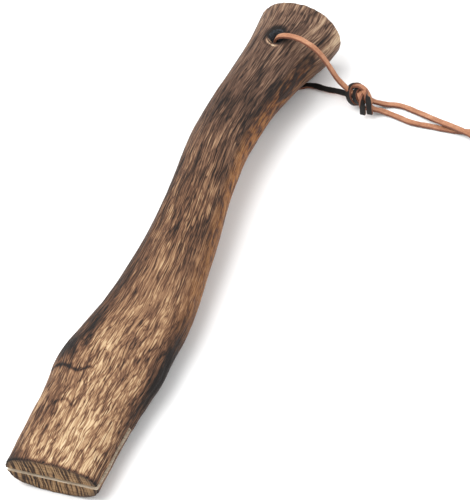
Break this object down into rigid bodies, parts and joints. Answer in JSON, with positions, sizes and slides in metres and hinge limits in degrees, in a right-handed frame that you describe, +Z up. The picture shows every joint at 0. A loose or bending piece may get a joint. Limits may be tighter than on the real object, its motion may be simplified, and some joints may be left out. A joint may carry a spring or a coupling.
{
  "type": "fly swatter handle",
  "caption": "Natural branch grip with a sawn kerf in its flat end for a swatter blade, and a flat leather lace knotted through its round end as a hanging loop.",
  "frame": {"origin": "bottom centre of the wooden handle's bounding box, on the surface the handle lies on", "axes": "+Y along the handle towards the lace end, +Z up from the surface it lies on; the kerf's flat walls are level, so the blade's plane is X by Y"},
  "size_m": [0.1608, 0.25, 0.035],
  "materials": {
    "scorched_wood": "scorched and wire-brushed, worn to a satin in the hand",
    "lace_leather": "matt tan flesh side with a dark grain side"
  },
  "bodies": {
    "handle": {"handle": "scorched_wood"},
    "lanyard": {"lace_front_strand": "lace_leather", "lace_back_strand": "lace_leather", "lace_knot": "lace_leather", "lace_tails": "lace_leather"},
    "loop": {"lace_loop": "lace_leather"}
  },
  "joints": [
    {"name": "lanyard_swing", "type": "hinge", "parent": "handle", "child": "lanyard", "pos_m": [0.004, 0.1045, 0.016], "axis": [0, 0, 1], "range_deg": [-50, 30]},
    {"name": "loop_swing", "type": "hinge", "parent": "lanyard", "child": "loop", "pos_m": [0.0392, 0.1013, 0.0059], "axis": [0, 0, 1], "range_deg": [-10, 40]}
  ]
}
